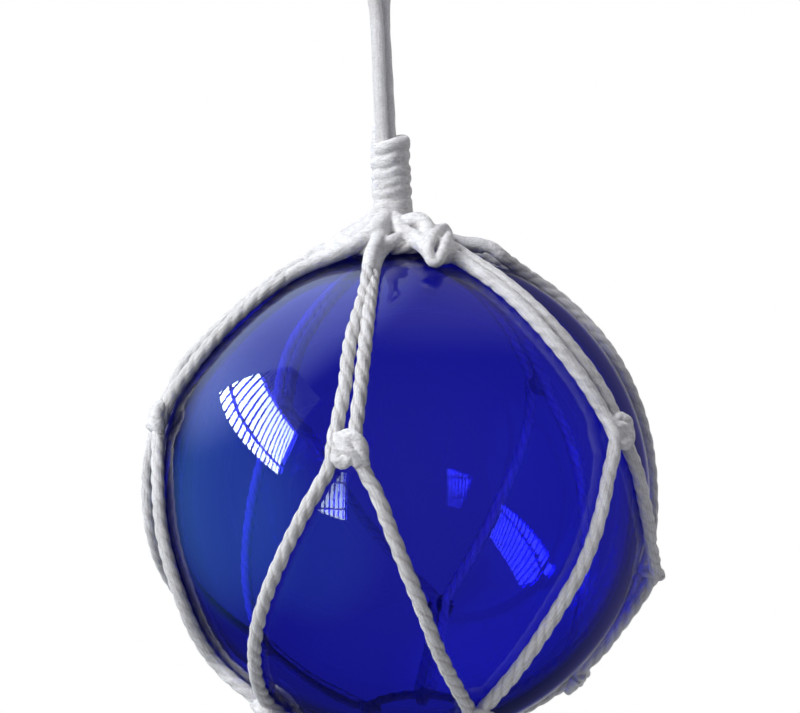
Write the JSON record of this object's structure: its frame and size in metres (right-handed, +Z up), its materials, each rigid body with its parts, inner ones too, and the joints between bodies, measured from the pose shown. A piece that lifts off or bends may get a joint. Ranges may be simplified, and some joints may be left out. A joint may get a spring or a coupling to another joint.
{
  "type": "glass float ball in rope netting",
  "caption": "Hollow blue glass float ball held in a knotted white cotton cord net, hung by a loop of cord from a wrapped neck.",
  "frame": {"origin": "inside of the hanging loop's top, where the hook carries it", "axes": "+Z up along the hanging cord, away from the ball; -Y faces the front knot's side"},
  "size_m": [0.2145, 0.2092, 0.3653],
  "materials": {
    "blue_glass": "clear cobalt-blue blown glass",
    "cotton_cord": "three-strand white cotton cord"
  },
  "bodies": {
    "root": {"glass_ball": "blue_glass", "net": "cotton_cord", "crown_ring": "cotton_cord", "bottom_ring": "cotton_cord", "neck_whipping": "cotton_cord", "hanging_loop": "cotton_cord"}
  },
  "joints": []
}
